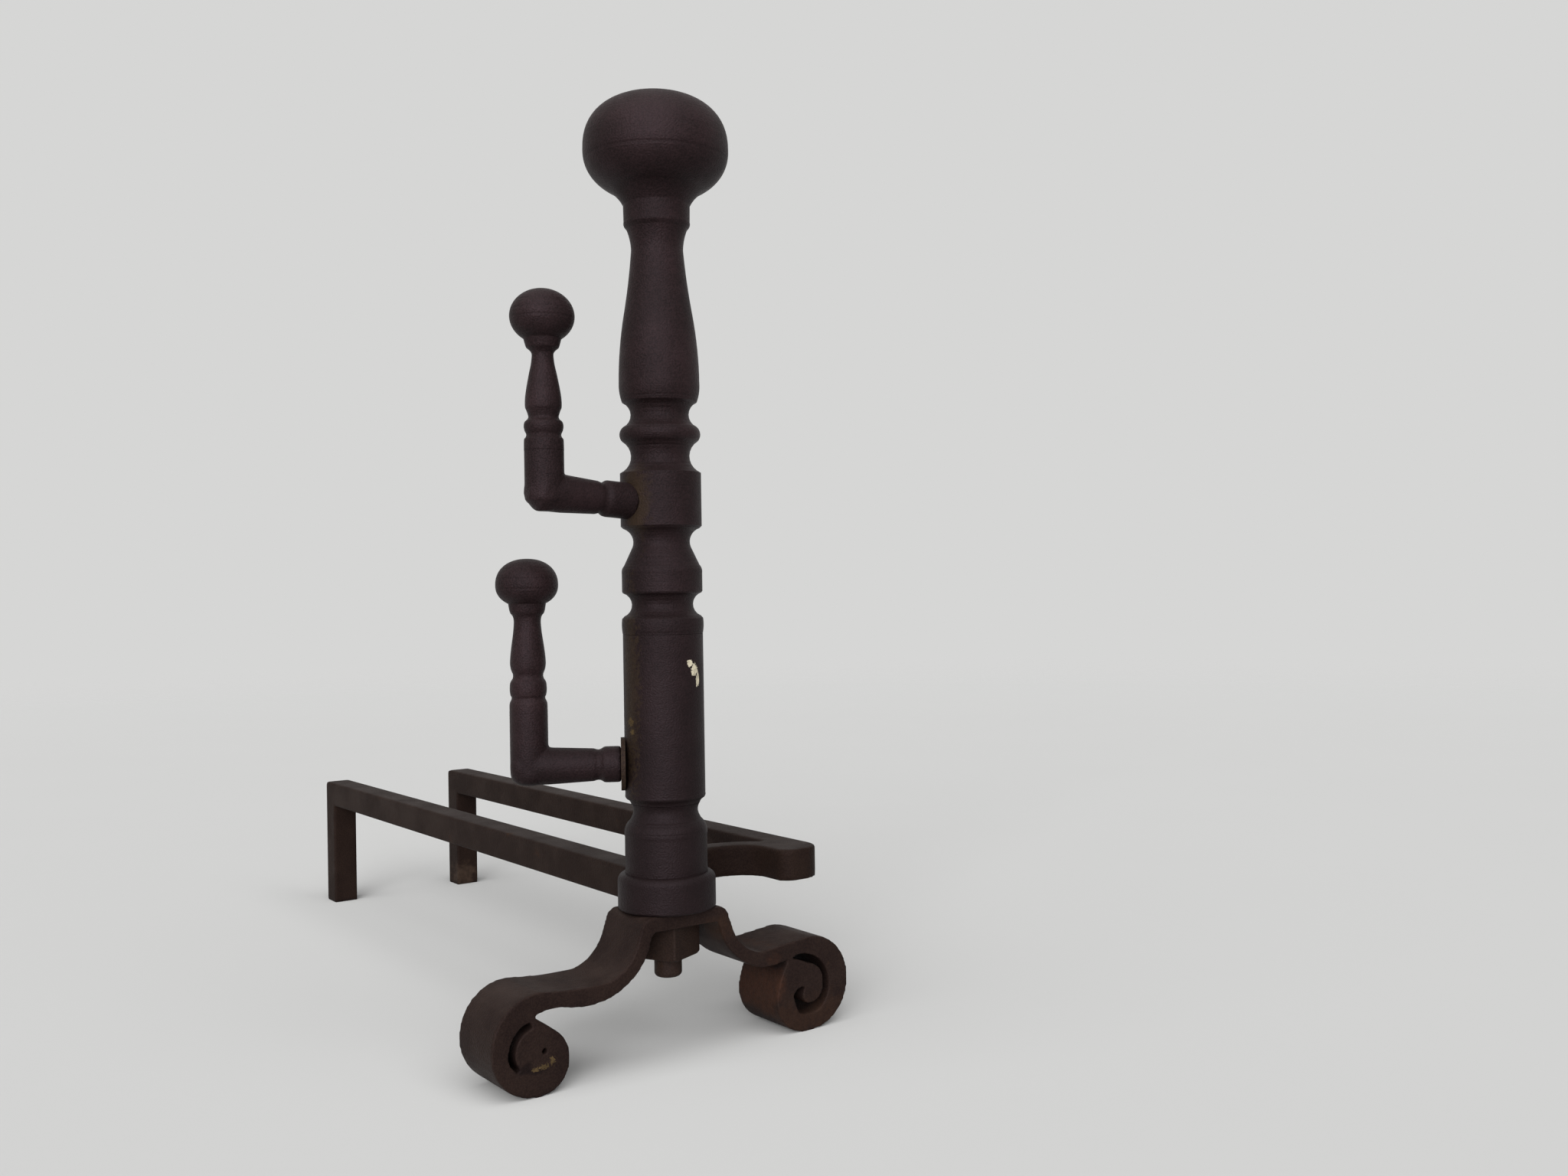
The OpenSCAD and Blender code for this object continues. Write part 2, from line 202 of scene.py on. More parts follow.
@dataclass(frozen=True)
class Mark:
    """A local mark on the skin of the iron, set by its place.

    Args:
        kind: What the mark is.
        solid: Name of the solid that it is on.
        centre: Middle of the mark, from the middle of the solid's foot.
        reach: Half sizes of the mark along X, Y and Z.
        colour: Colour in the middle of the mark.
        grain: Size of the ragged edge, in features per metre.
        ragged: How much the edge wanders, as a share of the reach.
        strength: How far the mark covers the skin, from 0 to 1.
    """

    kind: MarkKind
    solid: str
    centre: Point
    reach: Point
    colour: Colour
    grain: float
    ragged: float
    strength: float


def marks(
    kind: MarkKind,
    solid: str,
    colour: Colour,
    *places: tuple[Point, Point],
    grain: float,
    ragged: float,
    strength: float = 1.0,
) -> tuple[Mark, ...]:
    """Makes marks of one kind at several places.

    Args:
        kind: What the marks are.
        solid: Name of the solid that they are on.
        colour: Colour in the middle of each mark.
        places: Middle and half sizes of each mark, from the middle of the solid's foot.
        grain: Size of the ragged edges, in features per metre.
        ragged: How much the edges wander, as a share of the reach.
        strength: How far the marks cover the skin, from 0 to 1.

    Returns:
        The marks.
    """
    return tuple(
        Mark(kind, solid, centre, reach, colour, grain, ragged, strength)
        for centre, reach in places
    )


@dataclass(frozen=True)
class Ring:
    """A fine line that the lathe left round a turned piece.

    Args:
        solid: Name of the solid that it is on.
        height: Height of the line above the solid's foot.
        width: Half width of the line.
        depth: Depth of the line.
    """

    solid: str
    height: float
    width: float
    depth: float


def rings(
    solid: str, *heights: float, width: float = 0.0011, depth: float = 0.00014
) -> tuple[Ring, ...]:
    """Makes lines of one kind at several heights.

    Args:
        solid: Name of the solid that they are on.
        heights: Heights above the solid's foot, in millimetres.
        width: Half width of each line, in metres.
        depth: Depth of each line, in metres.

    Returns:
        The lines.
    """
    return tuple(Ring(solid, height * MILLIMETRE, width, depth) for height in heights)


@dataclass(frozen=True)
class IronFinish:
    """The skin of one kind of iron on the andiron.

    Args:
        name: Name of the finish.
        dark: Colour of the skin in its darker clouds.
        pale: Colour of the skin in its paler clouds.
        worn_and_sheen: Colour where edges are rubbed, and where tops are rubbed and carry a
            painted sheen.
        rust: Colour of thin rust that breaks through.
        rust_share: Share of the surface with thin rust, from 0 to 1.
        top_wear_and_sheen: How much faces that look up are rubbed and lit by a painted sheen,
            from 0 to 1.
        edge_wear: How much edges are rubbed, from 0 to 1.
        rough: Roughness of the skin.
        gloss: Share of the light that the skin mirrors, as Blender's specular level.
        grain: Height of the casting grain, in metres.
        hammer: Height of the slow waves left by the forge, in metres.
        lines: Height of the lathe's lines, in metres.
        soot: How much painted shade darkens the iron near the floor, from 0 to 1.
        rings: Single lines round a turned piece.
        marks: Local marks.
    """

    name: str
    dark: Colour = IRON_DARK
    pale: Colour = IRON_PALE
    worn_and_sheen: Colour = CAST_WORN_AND_SHEEN
    rust: Colour = RUST
    rust_share: float = 0.08
    top_wear_and_sheen: float = 0.1
    edge_wear: float = 0.3
    rough: float = 0.47
    gloss: float = 0.1
    grain: float = 0.00055
    hammer: float = 0.0
    lines: float = 0.0
    soot: float = 0.0
    rings: tuple[Ring, ...] = ()
    marks: tuple[Mark, ...] = ()


COLUMN_RINGS = (
    *rings("finial_ball", 56.4, width=0.0018, depth=0.00022),
    *rings("upper_column", 152.8, 148.0, 132.7, 121.3, 109.7, 68.8, 50.1, 46.7, 42.8),
    *rings("upper_column", 24.8, 11.7, 1.1),
    *rings("shaft", 3.3),
    *rings("base_block", 32.4, 26.9),
)
KNOB_RINGS = (
    *rings("lower_hook_finial", 105.0, 98.5, 92.0, width=0.0012, depth=0.00018),
    *rings("upper_hook_finial", 102.13, 97.03, 91.93, width=0.0012, depth=0.00018),
)

SHAFT_CHIPS = marks(
    MarkKind.CHIP,
    "shaft",
    BARE,
    ((0.00374, -0.0256, 0.0911), (0.0024, 0.006, 0.0022)),
    ((0.00774, -0.0248, 0.0866), (0.0028, 0.006, 0.0036)),
    ((0.01074, -0.0236, 0.0801), (0.0018, 0.006, 0.0046)),
    grain=600.0,
    ragged=0.5,
)
LOWER_ROOT_STAIN = marks(
    MarkKind.RUST,
    "shaft",
    GOLDEN_STAIN,
    ((-0.02596, -0.0013, 0.0756), (0.004, 0.008, 0.060)),
    grain=400.0,
    ragged=0.8,
    strength=0.3,
)
LOWER_ROOT_FLECKS = marks(
    MarkKind.CHIP,
    "shaft",
    STAIN_FLECK,
    ((-0.02596, -0.0013, 0.0539), (0.0010, 0.003, 0.0024)),
    ((-0.02586, -0.0028, 0.0476), (0.0008, 0.002, 0.0018)),
    grain=700.0,
    ragged=0.8,
    strength=0.6,
)
UPPER_ROOT_STAIN = marks(
    MarkKind.RUST,
    "upper_column",
    BROWN_STAIN,
    ((-0.02555, -0.0086, 0.0840), (0.009, 0.010, 0.024)),
    grain=300.0,
    ragged=0.6,
    strength=0.5,
)
REAR_LEG_RUB = marks(
    MarkKind.RUBBED,
    "inner_log_bar",
    RUBBED_IRON,
    ((-0.00885, 0.2636, 0.0100), (0.02, 0.03, 0.012)),
    grain=160.0,
    ragged=0.6,
    strength=0.5,
)
FAR_LEG_RUST = marks(
    MarkKind.RUST,
    "foot_strap",
    RED_RUST,
    ((0.07285, 0.0, 0.0340), (0.007, 0.03, 0.026)),
    grain=110.0,
    ragged=0.5,
    strength=0.45,
)
FOOT_RUST = marks(
    MarkKind.RUST,
    "foot_strap",
    RUST,
    ((0.09785, -0.0230, 0.0100), (0.034, 0.012, 0.012)),
    ((0.02585, -0.0170, 0.0800), (0.014, 0.012, 0.009)),
    grain=130.0,
    ragged=0.6,
    strength=0.3,
)
# Painted shade along the lower turn of the near scroll, where the spiral's gap is dark.
SCROLL_GAP_SHADE = marks(
    MarkKind.SOOT_AND_PAINTED_SHADE,
    "foot_strap",
    SOOT_AND_PAINTED_SHADE,
    ((-0.11265, -0.0230, 0.0185), (0.005, 0.006, 0.003)),
    ((-0.10415, -0.0230, 0.0160), (0.007, 0.006, 0.002)),
    grain=300.0,
    ragged=0.4,
    strength=0.7,
)
SCROLL_FLECKS = marks(
    MarkKind.CHIP,
    "foot_strap",
    FLECK,
    ((-0.10515, -0.0230, 0.0171), (0.0022, 0.004, 0.0012)),
    ((-0.10015, -0.0230, 0.0176), (0.0030, 0.004, 0.0014)),
    ((-0.09405, -0.0230, 0.0202), (0.0018, 0.004, 0.0024)),
    grain=900.0,
    ragged=0.9,
    strength=0.6,
)

COLUMN_IRON = IronFinish(
    name="turned_cast_iron",
    rust_share=0.05,
    lines=0.00008,
    # Painted shade towards the floor.
    soot=0.7,
    rings=COLUMN_RINGS,
    marks=(*SHAFT_CHIPS, *LOWER_ROOT_STAIN, *LOWER_ROOT_FLECKS, *UPPER_ROOT_STAIN),
)
# The hooks carry half the column's painted shade towards the floor.
HOOK_IRON = IronFinish(name="hook_cast_iron", lines=0.00004, soot=0.35)
FINIAL_IRON = IronFinish(name="turned_finial_iron", lines=0.0001, rings=KNOB_RINGS)
WASHER_IRON = IronFinish(
    name="stained_washer_iron",
    dark=linear(30, 22, 18),
    pale=linear(48, 37, 27),
    worn_and_sheen=linear(56, 46, 36),
    rust=OCHRE,
    rust_share=0.15,
    edge_wear=0.4,
    rough=0.62,
)
BAR_IRON = IronFinish(
    name="forged_bar_iron",
    dark=linear(23, 15, 12),
    pale=linear(37, 27, 22),
    worn_and_sheen=BAR_WORN_AND_SHEEN,
    rust_share=0.2,
    top_wear_and_sheen=0.25,
    edge_wear=0.5,
    rough=0.55,
    gloss=0.05,
    hammer=0.0004,
    marks=REAR_LEG_RUB,
)
FOOT_IRON = IronFinish(
    name="forged_foot_iron",
    dark=linear(24, 16, 14),
    pale=linear(38, 28, 24),
    worn_and_sheen=FOOT_WORN_AND_SHEEN,
    rust_share=0.2,
    top_wear_and_sheen=0.3,
    edge_wear=0.4,
    rough=0.52,
    gloss=0.055,
    hammer=0.0005,
    marks=(*FAR_LEG_RUST, *FOOT_RUST, *SCROLL_GAP_SHADE, *SCROLL_FLECKS),
)
ROD_IRON = IronFinish(
    name="rusted_rod_iron",
    dark=linear(26, 18, 14),
    pale=linear(42, 31, 25),
    worn_and_sheen=linear(58, 47, 40),
    rust_share=0.35,
    edge_wear=0.5,
    rough=0.58,
    grain=0.0006,
    hammer=0.0004,
)


class Nodes:
    """A node tree that is built from left to right."""

    def __init__(self, tree: bpy.types.NodeTree) -> None:
        """Empties a tree.

        Args:
            tree: The tree to build in.
        """
        self.tree = tree
        self.tree.nodes.clear()

    def node(self, kind: str, settings: dict | None = None, **sockets: Value) -> bpy.types.Node:
        """Adds a node.

        Args:
            kind: Blender's name of the node.
            settings: Settings of the node that aren't sockets.
            sockets: A value or another node's output for each socket, by name
                with _ for a space, or by i and its number.

        Returns:
            The new node.
        """
        made = self.tree.nodes.new(kind)
        for key, value in (settings or {}).items():
            setattr(made, key, value)
        for key, value in sockets.items():
            if key[0] == "i" and key[1:].isdigit():
                socket = made.inputs[int(key[1:])]
            else:
                socket = made.inputs[key.replace("_", " ")]
            if isinstance(value, Socket):
                self.tree.links.new(value, socket)
            elif isinstance(value, tuple) and len(value) == 3 and socket.type == "RGBA":
                socket.default_value = (*value, 1.0)
            else:
                socket.default_value = value
        return made

    def math(self, operation: str, first: Value, second: Value = 0.0) -> Socket:
        """Adds a Math node.

        Args:
            operation: Blender's name of the sum.
            first: First number.
            second: Second number.

        Returns:
            The result.
        """
        made = self.node("ShaderNodeMath", {"operation": operation}, i0=first, i1=second)
        return made.outputs[0]

    def times(self, first: Value, second: Value) -> Socket:
        """Multiplies two numbers."""
        return self.math("MULTIPLY", first, second)

    def vector(self, operation: str, first: Value, second: Value = ORIGIN) -> bpy.types.Node:
        """Adds a Vector Math node.

        Args:
            operation: Blender's name of the sum.
            first: First vector.
            second: Second vector.

        Returns:
            The node, whose outputs are a Vector and a Value.
        """
        return self.node("ShaderNodeVectorMath", {"operation": operation}, i0=first, i1=second)

    def height(self, place: Socket) -> Socket:
        """Takes the upright share of a vector."""
        return self.node("ShaderNodeSeparateXYZ", i0=place).outputs["Z"]

    def noise(self, place: Socket, grain: Grain) -> Socket:
        """Adds a grain.

        Args:
            place: Place on the piece.
            grain: The grain.

        Returns:
            Strength of the grain, from 0 to 1.
        """
        return self.node(
            "ShaderNodeTexNoise",
            Vector=place,
            Scale=grain.scale,
            Detail=grain.detail,
            Roughness=grain.rough,
        ).outputs[0]

    def ramp(self, value: Socket, low: float, high: float) -> Socket:
        """Turns a value into a share with soft ends.

        Args:
            value: The value.
            low: Where the share is 0.
            high: Where the share is 1.

        Returns:
            The share.
        """
        return self.node(
            "ShaderNodeMapRange",
            {"interpolation_type": "SMOOTHSTEP"},
            Value=value,
            From_Min=low,
            From_Max=high,
        ).outputs[0]

    def patches(self, place: Socket, kind: Patches) -> Socket:
        """Adds patches.

        Args:
            place: Place on the piece.
            kind: The patches.

        Returns:
            Share of a patch at each place, from 0 to 1.
        """
        return self.ramp(self.noise(place, kind.grain), kind.low, kind.high)

    def mix(self, share: Socket, under: Value, over: Value) -> Socket:
        """Lays one colour over another.

        Args:
            share: How far the upper colour covers the lower one.
            under: The lower colour.
            over: The upper colour.

        Returns:
            The mixed colour.
        """
        made = self.node("ShaderNodeMix", {"data_type": "RGBA"}, i0=share, i6=under, i7=over)
        return made.outputs[2]

    def bump(self, height: Socket, distance: float, under: Socket | None = None) -> Socket:
        """Raises the surface by a height.

        Args:
            height: Share of the distance at each place.
            distance: Height of the relief, in metres.
            under: The relief that it is laid on.

        Returns:
            The normal of the surface.
        """
        made = self.node("ShaderNodeBump", Height=height, Distance=distance, Strength=1.0)
        if under is not None:
            self.tree.links.new(under, made.inputs["Normal"])
        return made.outputs[0]


class Shader(Nodes):
    """The node tree of a new material."""

    def __init__(self, name: str) -> None:
        """Makes an empty material.

        Args:
            name: Name of the material.
        """
        self.material = bpy.data.materials.new(name)
        self.material.use_nodes = True
        super().__init__(self.material.node_tree)

    def place(self) -> Socket:
        """Finds the place on the piece, in the part's own frame at rest."""
        return self.node("ShaderNodeTexCoord").outputs["Object"]


CAST_GRAIN = Grain(950.0, 2.0, 0.6)
HAMMER_WAVES = Grain(38.0, 3.0, 0.5)
LATHE_GRAIN = Grain(1.0, 3.0, 0.7)
LATHE_STRETCH = (2.0, 2.0, 900.0)
MARK_EDGE = Grain(160.0, 4.0, 0.6)
GRAIN_MIDDLE = 0.5
CLOUDS = Patches(Grain(26.0, 4.0, 0.6), 0.34, 0.68)
SPECKLE = Patches(CAST_GRAIN, 0.36, 0.64)
EDGE_BREAKS = Patches(Grain(220.0, 4.0, 0.6), 0.42, 0.62)
TOP_BREAKS = Patches(Grain(70.0, 5.0, 0.65), 0.28, 0.6)
RUST_PATCHES = Patches(Grain(34.0, 6.0, 0.7), 0.72, 0.88)
MARK_MOTTLE = Patches(Grain(300.0, 3.0, 0.6), 0.3, 0.7)


@dataclass(frozen=True)
class Weathering:
    """How years at the hearth show on all of the iron, with painted shade in crevices and near
    the floor and a painted sheen on faces that look up.

    Args:
        cloud_share: Share of the clouds in the skin's colour, beside the speckle.
        cloud_polish: How much smoother the paler clouds are.
        cloud_rough: How much rougher the darker clouds are.
        edge_radius: Reach of a rubbed edge, in metres.
        edge_turn: How far the face turns at the start and middle of a rubbed edge.
        looks_up: How far up a face looks where its rubbing and painted sheen start and are
            full.
        rust_growth: How much lower rust starts where all of the surface has it.
        rust_cover: How far thin rust covers the skin.
        rust_rough: How much rougher thin rust is.
        crevice_reach: Depth of a crevice, in metres.
        crevice_open: Open sky at the start and at the bottom of a crevice.
        crevice_cover: How far painted shade darkens a crevice.
        low_shade_heights: Heights where the painted shade near the floor starts and where it is
            full.
        ring_cover: How far sooty dirt covers a turned line.
        mark_wander: How far the grain moves a mark's edge.
        mark_shade: Light of a mark in its darker places.
        gloss_tint: Colour of the light that the skin mirrors.
        density: How much the skin bends light.
        samples: Rays to find edges and crevices with.
    """

    cloud_share: float = 0.45
    cloud_polish: float = 0.08
    cloud_rough: float = 0.05
    edge_radius: float = 0.0016
    edge_turn: Span = (0.995, 0.9)
    looks_up: Span = (0.55, 0.98)
    rust_growth: float = 0.4
    rust_cover: float = 0.8
    rust_rough: float = 0.2
    crevice_reach: float = 0.012
    crevice_open: Span = (0.75, 0.25)
    crevice_cover: float = 0.6
    low_shade_heights: Span = (0.50, 0.09)
    ring_cover: float = 0.15
    mark_wander: float = 4.0
    mark_shade: float = 0.6
    gloss_tint: Colour = (0.94, 0.82, 0.94)
    density: float = 1.5
    samples: int = 6


HEARTH = Weathering()


def foot_of(solid: str) -> Vector:
    """Finds the middle of a solid's foot from the model's own box.

    Args:
        solid: Name of the solid.

    Returns:
        The place, in the part's own frame.
    """
    low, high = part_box(solid)
    return Vector(((low.x + high.x) / 2, (low.y + high.y) / 2, low.z))


class IronMaterial:
    """Builds the material of one iron finish."""

    def __init__(self, finish: IronFinish, age: Weathering = HEARTH) -> None:
        """Builds the node tree from the skin up.

        Args:
            finish: The finish to build.
            age: How the iron has weathered.
        """
        self.finish = finish
        self.age = age
        self.shader = Shader(finish.name)
        self.material = self.shader.material
        self.place = self.shader.place()
        self.normal = self.shader.node("ShaderNodeNewGeometry").outputs["Normal"]
        self.up = self.shader.height(self.place)
        clouds = self.shader.patches(self.place, CLOUDS)
        rust = self._rust()
        colour = self._wear_and_sheen(self._skin(clouds))
        colour = self.shader.mix(rust, colour, finish.rust)
        colour = self._marked(self._shaded(colour))
        colour, relief = self._turned(colour, self._relief())
        self._close(colour, self._roughness(clouds, rust), relief)

    def _skin(self, clouds: Socket) -> Socket:
        """Mixes the clouded and speckled colour of the skin.

        Args:
            clouds: Share of a paler cloud.

        Returns:
            The skin's colour.
        """
        shader, share = self.shader, self.age.cloud_share
        speckle = shader.times(shader.patches(self.place, SPECKLE), 1.0 - share)
        share = shader.math("ADD", shader.times(clouds, share), speckle)
        return shader.mix(share, self.finish.dark, self.finish.pale)

    def _wear_and_sheen(self, colour: Socket) -> Socket:
        """Paints the tops paler, as rubbing and painted sheen, and rubs the edges.

        Args:
            colour: Colour so far.

        Returns:
            The colour with its rubbed places and painted sheen.
        """
        shader = self.shader
        # Faces that look up are painted paler, as rubbing and as painted sheen.
        top = shader.ramp(shader.height(self.normal), *self.age.looks_up)
        top = shader.times(top, shader.patches(self.place, TOP_BREAKS))
        colour = shader.mix(shader.times(top, self.finish.top_wear_and_sheen), colour, self.finish.worn_and_sheen)
        return shader.mix(self._edges(), colour, self.finish.worn_and_sheen)

    def _edges(self) -> Socket:
        """Finds rubbed edges from a rounded normal.

        Returns:
            Share of the rubbing at each place.
        """
        shader = self.shader
        rounded = shader.node(
            "ShaderNodeBevel", {"samples": self.age.samples}, Radius=self.age.edge_radius
        ).outputs[0]
        turn = shader.vector("DOT_PRODUCT", rounded, self.normal).outputs["Value"]
        edge = shader.ramp(turn, *self.age.edge_turn)
        breaks = shader.times(shader.patches(self.place, EDGE_BREAKS), self.finish.edge_wear)
        return shader.times(edge, breaks)

    def _rust(self) -> Socket:
        """Spreads thin rust.

        Returns:
            Share of the rust at each place.
        """
        lower = self.age.rust_growth * self.finish.rust_share
        spread = replace(
            RUST_PATCHES, low=RUST_PATCHES.low - lower, high=RUST_PATCHES.high - lower
        )
        return self.shader.times(self.shader.patches(self.place, spread), self.age.rust_cover)

    def _shaded(self, colour: Socket) -> Socket:
        """Lays painted shade into crevices and over the iron near the floor.

        Args:
            colour: Colour so far.

        Returns:
            The colour with its painted shade.
        """
        shader = self.shader
        # Painted shade in crevices: the less open sky a place sees, the darker it is painted.
        open_sky = shader.node(
            "ShaderNodeAmbientOcclusion",
            {"samples": self.age.samples},
            Distance=self.age.crevice_reach,
        ).outputs["AO"]
        crevice = shader.ramp(open_sky, *self.age.crevice_open)
        colour = shader.mix(shader.times(crevice, self.age.crevice_cover), colour, SOOT_AND_PAINTED_SHADE)
        # Painted shade that darkens the iron towards the floor.
        if self.finish.soot:
            low = shader.ramp(self.up, *self.age.low_shade_heights)
            colour = shader.mix(shader.times(low, self.finish.soot), colour, SOOT_AND_PAINTED_SHADE)
        return colour

    def _marked(self, colour: Socket) -> Socket:
        """Lays the local marks over the skin.

        Args:
            colour: Colour so far.

        Returns:
            The colour with its marks.
        """
        shader = self.shader
        for mark in self.finish.marks:
            mottle = shader.patches(self.place, MARK_MOTTLE)
            tone = shader.mix(mottle, shade(mark.colour, self.age.mark_shade), mark.colour)
            colour = shader.mix(self._mark(mark), colour, tone)
        return colour

    def _mark(self, mark: Mark) -> Socket:
        """Finds the place of a mark.

        Args:
            mark: The mark.

        Returns:
            How far the mark covers each place.
        """
        shader = self.shader
        centre = foot_of(mark.solid) + Vector(mark.centre)
        away = shader.vector("SUBTRACT", self.place, tuple(centre)).outputs[0]
        scaled = shader.vector("DIVIDE", away, mark.reach).outputs[0]
        length = shader.vector("LENGTH", scaled).outputs["Value"]
        grain = shader.noise(self.place, replace(MARK_EDGE, scale=mark.grain))
        wander = shader.math("SUBTRACT", grain, GRAIN_MIDDLE)
        wander = shader.times(wander, self.age.mark_wander * mark.ragged)
        edge = shader.math("ADD", length, wander)
        inside = shader.ramp(edge, 1.0 + mark.kind.softness, 1.0 - mark.kind.softness)
        return shader.times(inside, mark.strength)

    def _relief(self) -> Socket:
        """Raises the casting grain, the forge's waves and the lathe's lines.

        Returns:
            The normal of the surface.
        """
        shader, finish = self.shader, self.finish
        relief = shader.bump(shader.noise(self.place, CAST_GRAIN), finish.grain)
        if finish.hammer:
            relief = shader.bump(shader.noise(self.place, HAMMER_WAVES), finish.hammer, relief)
        if finish.lines:
            round_place = shader.vector("MULTIPLY", self.place, LATHE_STRETCH).outputs[0]
            relief = shader.bump(shader.noise(round_place, LATHE_GRAIN), finish.lines, relief)
        return relief

    def _turned(self, colour: Socket, relief: Socket) -> tuple[Socket, Socket]:
        """Cuts the single turned lines.

        Args:
            colour: Colour so far.
            relief: Normal of the surface so far.

        Returns:
            The colour and the normal with the lines.
        """
        shader = self.shader
        for ring in self.finish.rings:
            level = foot_of(ring.solid).z + ring.height
            away = shader.math("ABSOLUTE", shader.math("SUBTRACT", self.up, level))
            line = shader.ramp(away, ring.width, 0.0)
            relief = shader.bump(shader.math("SUBTRACT", 1.0, line), ring.depth, relief)
            colour = shader.mix(shader.times(line, self.age.ring_cover), colour, SOOT_AND_PAINTED_SHADE)
        return colour, relief

    def _roughness(self, clouds: Socket, rust: Socket) -> Socket:
        """Makes the clouds smoother and the rust rougher.

        Args:
            clouds: Share of a paler cloud.
            rust: Share of the rust.

        Returns:
            Roughness of the skin.
        """
        shader = self.shader
        polish = shader.times(clouds, self.age.cloud_polish)
        rough = shader.math("SUBTRACT", self.finish.rough + self.age.cloud_rough, polish)
        return shader.math("ADD", rough, shader.times(rust, self.age.rust_rough))

    def _close(self, colour: Socket, rough: Socket, relief: Socket) -> None:
        """Ends the tree with the iron's surface.

        Args:
            colour: Colour of the skin.
            rough: Roughness of the skin.
            relief: Normal of the surface.
        """
        surface = self.shader.node(
            "ShaderNodeBsdfPrincipled",
            Base_Color=colour,
            Roughness=rough,
            Normal=relief,
            IOR=self.age.density,
            Specular_IOR_Level=self.finish.gloss,
            Specular_Tint=self.age.gloss_tint,
        )
        self.shader.node("ShaderNodeOutputMaterial", Surface=surface.outputs[0])


# Outlines and edges


@dataclass(frozen=True)
class Rounding:
    """How the edges of a copy are rounded off.

    Args:
        grid: Size of the grid that the copy is rebuilt on, in metres.
        passes: How often the rebuilt copy is smoothed.
        pull: How far each pass pulls, from 0 to 1.
    """

    grid: float
    passes: int
    pull: float = 0.5


CAST_EDGES = Rounding(grid=0.0008, passes=14)
FORGED_EDGES = Rounding(grid=0.0015, passes=3)
STRAP_EDGES = Rounding(grid=0.0010, passes=5)
NUT_EDGES = Rounding(grid=0.0006, passes=5)


@dataclass(frozen=True)
class Turning:
    """The outline of a turned finial, in millimetres.

    Args:
        stem: Heights above the joint and radii, from the joint to the knob.
        knob_radius: Radius of the knob.
        knob_middle: Height of the knob's widest place.
        knob_up: Height of the knob above its widest place.
        knob_down: Height of the knob below its widest place.
        squareness: Power of the knob's outline, where 2 is an ellipse.
        lead: How far the neighbours lead the line through the stem.
        stem_steps: Number of points for each stretch of the stem.
        knob_steps: Number of points for the knob.
    """

    stem: tuple[tuple[float, float], ...]
    knob_radius: float
    knob_middle: float
    knob_up: float
    knob_down: float
    squareness: float = 2.2
    lead: float = 0.4
    stem_steps: int = 8
    knob_steps: int = 48

    def outline(self) -> Outline:
        """Runs a smooth line through the stem and lays the knob on it.

        Returns:
            Heights and radii from the foot to the top.
        """
        return [*self._stem_line(), *self._knob_line()]

    def _stem_line(self) -> Outline:
        """Runs a smooth line through the stem's points.

        Returns:
            Heights and radii of the stem.
        """
        ends = (self.stem[0], *self.stem, self.stem[-1])
        return [
            self._between(stretch, step / self.stem_steps)
            for stretch in zip(ends, ends[1:], ends[2:], ends[3:])
            for step in range(self.stem_steps)
        ]

    def _between(self, stretch: tuple, share: float) -> tuple[float, float]:
        """Finds a point of the line between two points, led by their neighbours.

        Args:
            stretch: The point before, the two points, and the point after.
            share: Place between the two points, from 0 to 1.

        Returns:
            The point's height and radius.
        """
        before, start, end, after = stretch
        square, cube = share**2, share**3
        leave, arrive = cube - 2 * square + share, cube - square
        near, far = 2 * cube - 3 * square + 1, 3 * square - 2 * cube

        def blend(way: int) -> float:
            """Blends the heights (0) or the radii (1)."""
            led = leave * (end[way] - before[way]) + arrive * (after[way] - start[way])
            return near * start[way] + far * end[way] + self.lead * led

        return blend(0), blend(1)

    def _knob_line(self) -> Outline:
        """Runs round the knob from where the stem meets it.

        Returns:
            Heights and radii of the knob.
        """
        power = 2 / self.squareness
        share = self.stem[-1][1] / self.knob_radius
        low = -math.acos(share ** (self.squareness / 2))
        rows = []
        for step in range(self.knob_steps + 1):
            angle = low + (math.pi / 2 - low) * step / self.knob_steps
            reach = self.knob_down if angle < 0 else self.knob_up
            rise = abs(math.sin(angle)) ** power
            width = max(math.cos(angle), 0.0) ** power
            height = self.knob_middle + math.copysign(reach * rise, angle)
            rows.append((height, self.knob_radius * width))
        return rows


LOWER_TURNING = Turning(
    stem=(
        (-5.0, 12.15), (1.5, 12.05), (3.4, 11.6), (5.0, 10.8), (6.3, 10.7), (7.8, 11.4),
        (11.0, 11.8), (14.8, 11.6), (16.6, 11.0), (18.2, 10.0), (19.8, 9.6), (21.4, 9.8),
        (24.4, 10.9), (28.2, 11.4), (34.0, 11.0), (41.0, 10.1), (48.0, 9.1), (54.2, 8.6),
        (57.2, 8.85), (58.8, 9.5), (60.4, 10.7), (62.4, 11.35), (66.4, 12.0),
    ),
    knob_radius=20.0,
    knob_middle=78.4,
    knob_up=16.9,
    knob_down=14.3,
)
UPPER_TURNING = Turning(
    stem=(
        (-5.0, 12.25), (1.3, 12.1), (2.8, 11.3), (4.0, 10.7), (5.3, 10.8), (6.9, 11.6),
        (9.2, 12.1), (11.2, 12.0), (12.7, 11.4), (14.0, 9.95), (15.4, 9.3), (17.0, 9.55),
        (19.6, 10.4), (21.2, 11.1), (24.0, 11.25), (28.0, 11.0), (34.0, 10.1), (42.0, 8.55),
        (48.0, 7.25), (53.2, 6.65), (55.2, 6.95), (56.8, 8.2), (58.4, 10.0), (60.6, 10.75),
        (63.8, 11.6),
    ),
    knob_radius=19.95,
    knob_middle=77.5,
    knob_up=17.2,
    knob_down=16.8,
    squareness=2.0,
)


